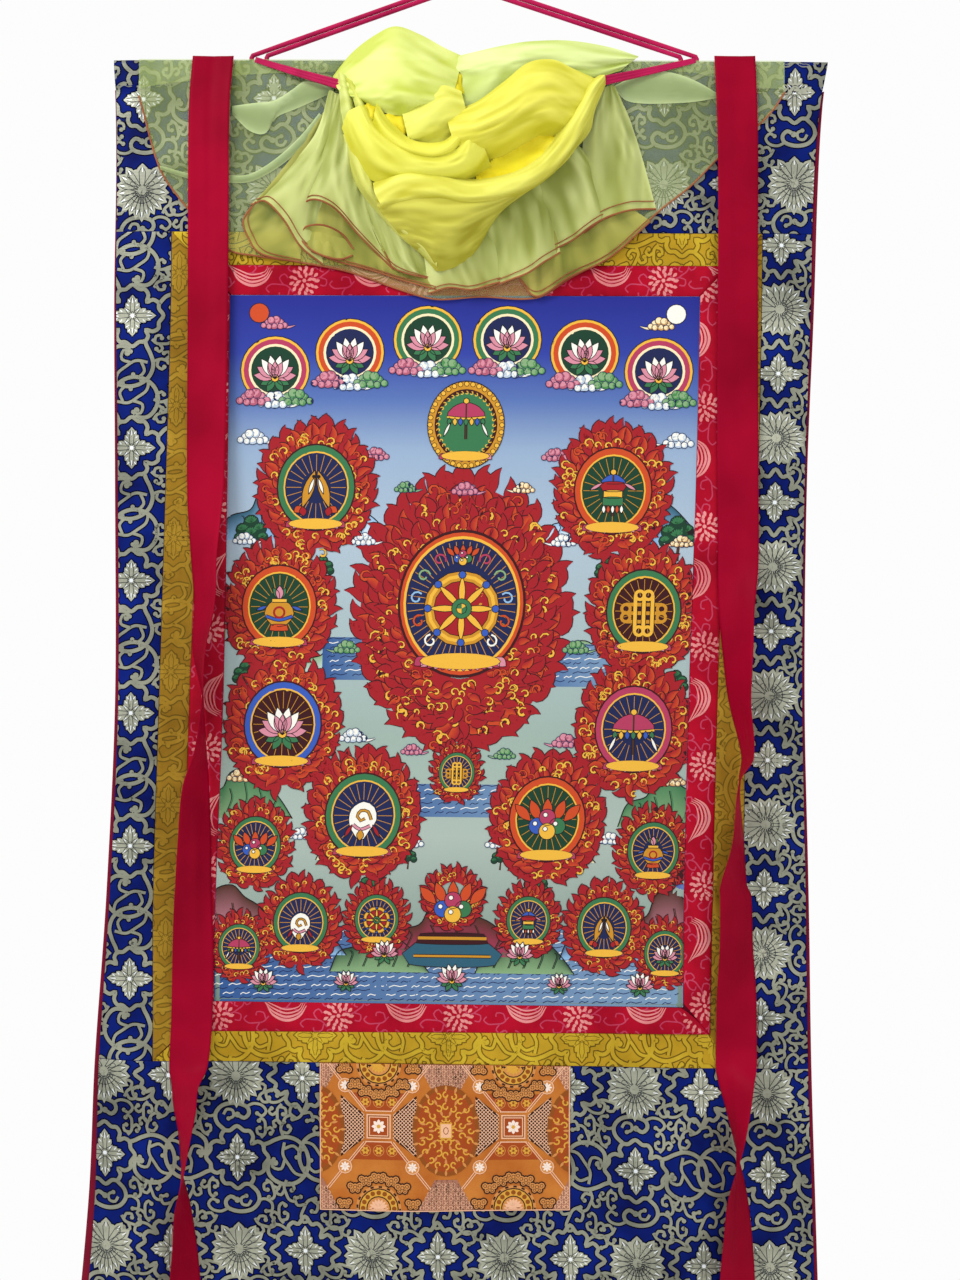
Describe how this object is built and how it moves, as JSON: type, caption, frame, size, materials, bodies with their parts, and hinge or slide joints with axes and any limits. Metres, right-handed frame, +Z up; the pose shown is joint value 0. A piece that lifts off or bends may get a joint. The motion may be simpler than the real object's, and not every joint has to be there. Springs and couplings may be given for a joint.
{
  "type": "thangka scroll painting",
  "caption": "Scroll painting in a blue, gold and crimson brocade mount, hung by a cord, with a gathered sheer veil and twisted satin ribbons in front.",
  "frame": {"origin": "apex of the hanging cord, at the wall where it goes over its hook", "axes": "+Z up, the front faces -Y, +X to the viewer's right, the wall is the plane Y = 0"},
  "size_m": [0.9272, 0.0899, 1.7577],
  "materials": {
    "blue_brocade": "satin ground with woven silver-beige lotus and cloud scrolls",
    "gold_brocade": "satin, tone-on-tone woven scrolls",
    "red_brocade": "satin damask with pale gold sprays",
    "painted_cloth": "matt printed cotton",
    "orange_brocade": "satin with octagon lattice in gold, brown and pale pink",
    "red_lining": "plain matt cotton",
    "red_satin": "satin",
    "yellow_organza": "sheer, slightly shiny organza with a serged brown-orange hem",
    "magenta_cord": "satin cord"
  },
  "bodies": {
    "root": {"brocade_bottom": "blue_brocade", "brocade_left": "blue_brocade", "brocade_right": "blue_brocade", "brocade_top": "blue_brocade", "door_patch": "orange_brocade", "gold_bottom": "gold_brocade", "gold_left": "gold_brocade", "gold_right": "gold_brocade", "gold_top": "gold_brocade", "hanging_cord_lower": "magenta_cord", "hanging_cord_upper": "magenta_cord", "lining": "red_lining", "painting": "painted_cloth", "red_bottom": "red_brocade", "red_left": "red_brocade", "red_right": "red_brocade", "red_top": "red_brocade", "ribbon_left": "red_satin", "ribbon_right": "red_satin", "tie_left": "magenta_cord", "tie_right": "magenta_cord", "veil": "yellow_organza"}
  },
  "joints": []
}
